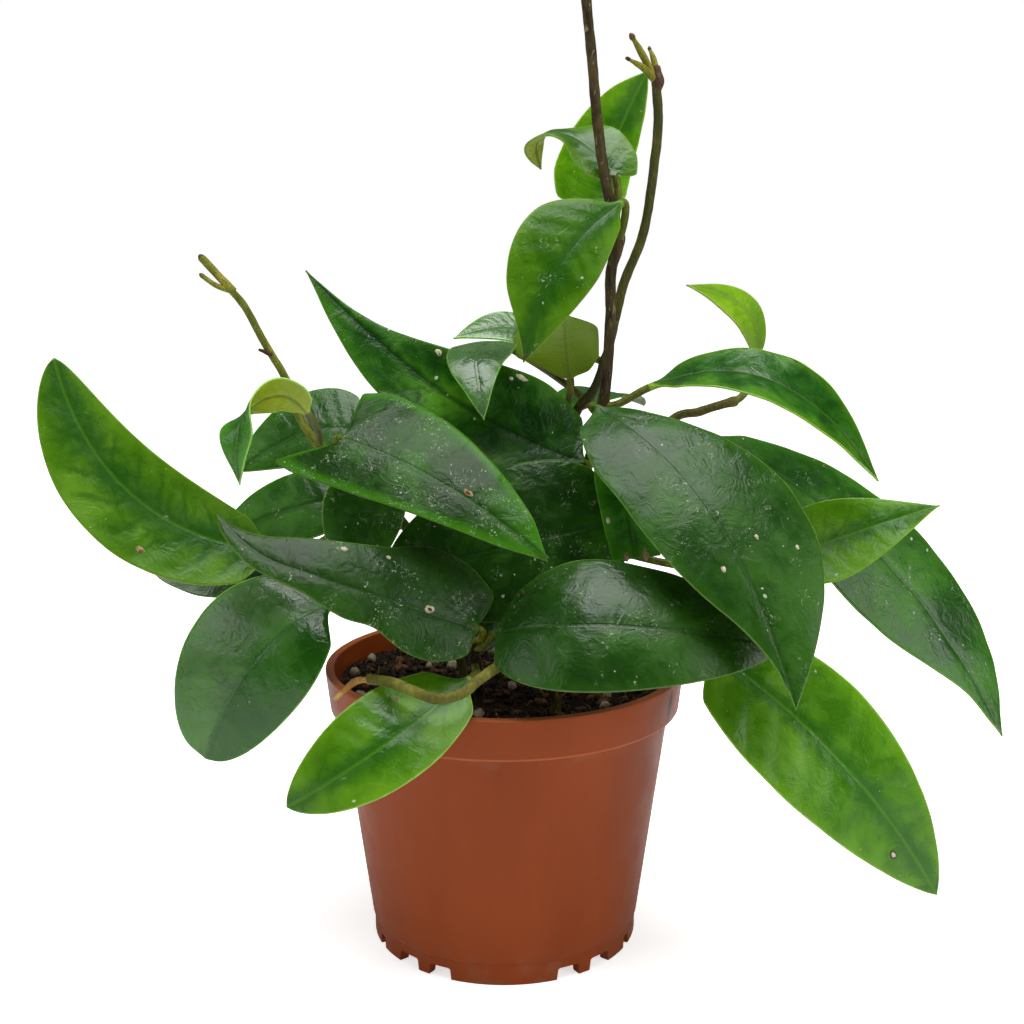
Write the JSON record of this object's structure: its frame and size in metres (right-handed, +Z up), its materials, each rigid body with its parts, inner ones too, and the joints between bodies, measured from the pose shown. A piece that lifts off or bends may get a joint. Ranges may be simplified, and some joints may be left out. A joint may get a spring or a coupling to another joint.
{
  "type": "potted hoya plant",
  "caption": "Waxy-leaved hoya in a round terracotta-coloured nursery pot, with upright bare shoots, arching leaves over the rim and dark potting mix.",
  "frame": {"origin": "centre of the pot's underside, on the plane that its feet stand on", "axes": "+Z up along the pot's axis, +X to the right and -Y towards the viewer who sees the plant's leafy front"},
  "size_m": [0.3084, 0.18, 0.3524],
  "materials": {
    "pot_plastic": "satin moulded terracotta-coloured plastic",
    "potting_mix": "loose dark peat with bark and grit",
    "stem_bark": "thin brown to olive bark",
    "leaf_blade": "waxy green leaf with soft gloss"
  },
  "bodies": {
    "root": {"pot": "pot_plastic", "soil": "potting_mix", "stem_tall": "stem_bark", "stem_budding": "stem_bark", "stem_shoot": "stem_bark", "stem_front": "stem_bark", "stem_cut": "stem_bark", "stem_right": "stem_bark", "stem_rear": "stem_bark", "leaf_far_left": "leaf_blade", "leaf_low_left": "leaf_blade", "leaf_left_under": "leaf_blade", "leaf_front_hooked": "leaf_blade", "leaf_centre": "leaf_blade", "leaf_upper_left": "leaf_blade", "leaf_small_front": "leaf_blade", "leaf_behind_small": "leaf_blade", "leaf_upper_front": "leaf_blade", "leaf_cupped": "leaf_blade", "leaf_curled": "leaf_blade", "leaf_upper_rear": "leaf_blade", "leaf_small_right": "leaf_blade", "leaf_arching": "leaf_blade", "leaf_big_front": "leaf_blade", "leaf_drooping": "leaf_blade", "leaf_pointing_right": "leaf_blade", "leaf_low_right": "leaf_blade", "leaf_front_oval": "leaf_blade", "leaf_over_rim": "leaf_blade", "leaf_dark_centre": "leaf_blade", "leaf_torn": "leaf_blade", "leaf_left_middle": "leaf_blade", "leaf_left_inner": "leaf_blade", "leaf_dark_low": "leaf_blade", "leaf_left_rear": "leaf_blade", "leaf_twisted": "leaf_blade", "leaf_rear_top": "leaf_blade", "leaf_rear_left": "leaf_blade", "leaf_rear_right": "leaf_blade", "leaf_rear_low": "leaf_blade", "leaf_rear_middle": "leaf_blade"}
  },
  "joints": []
}
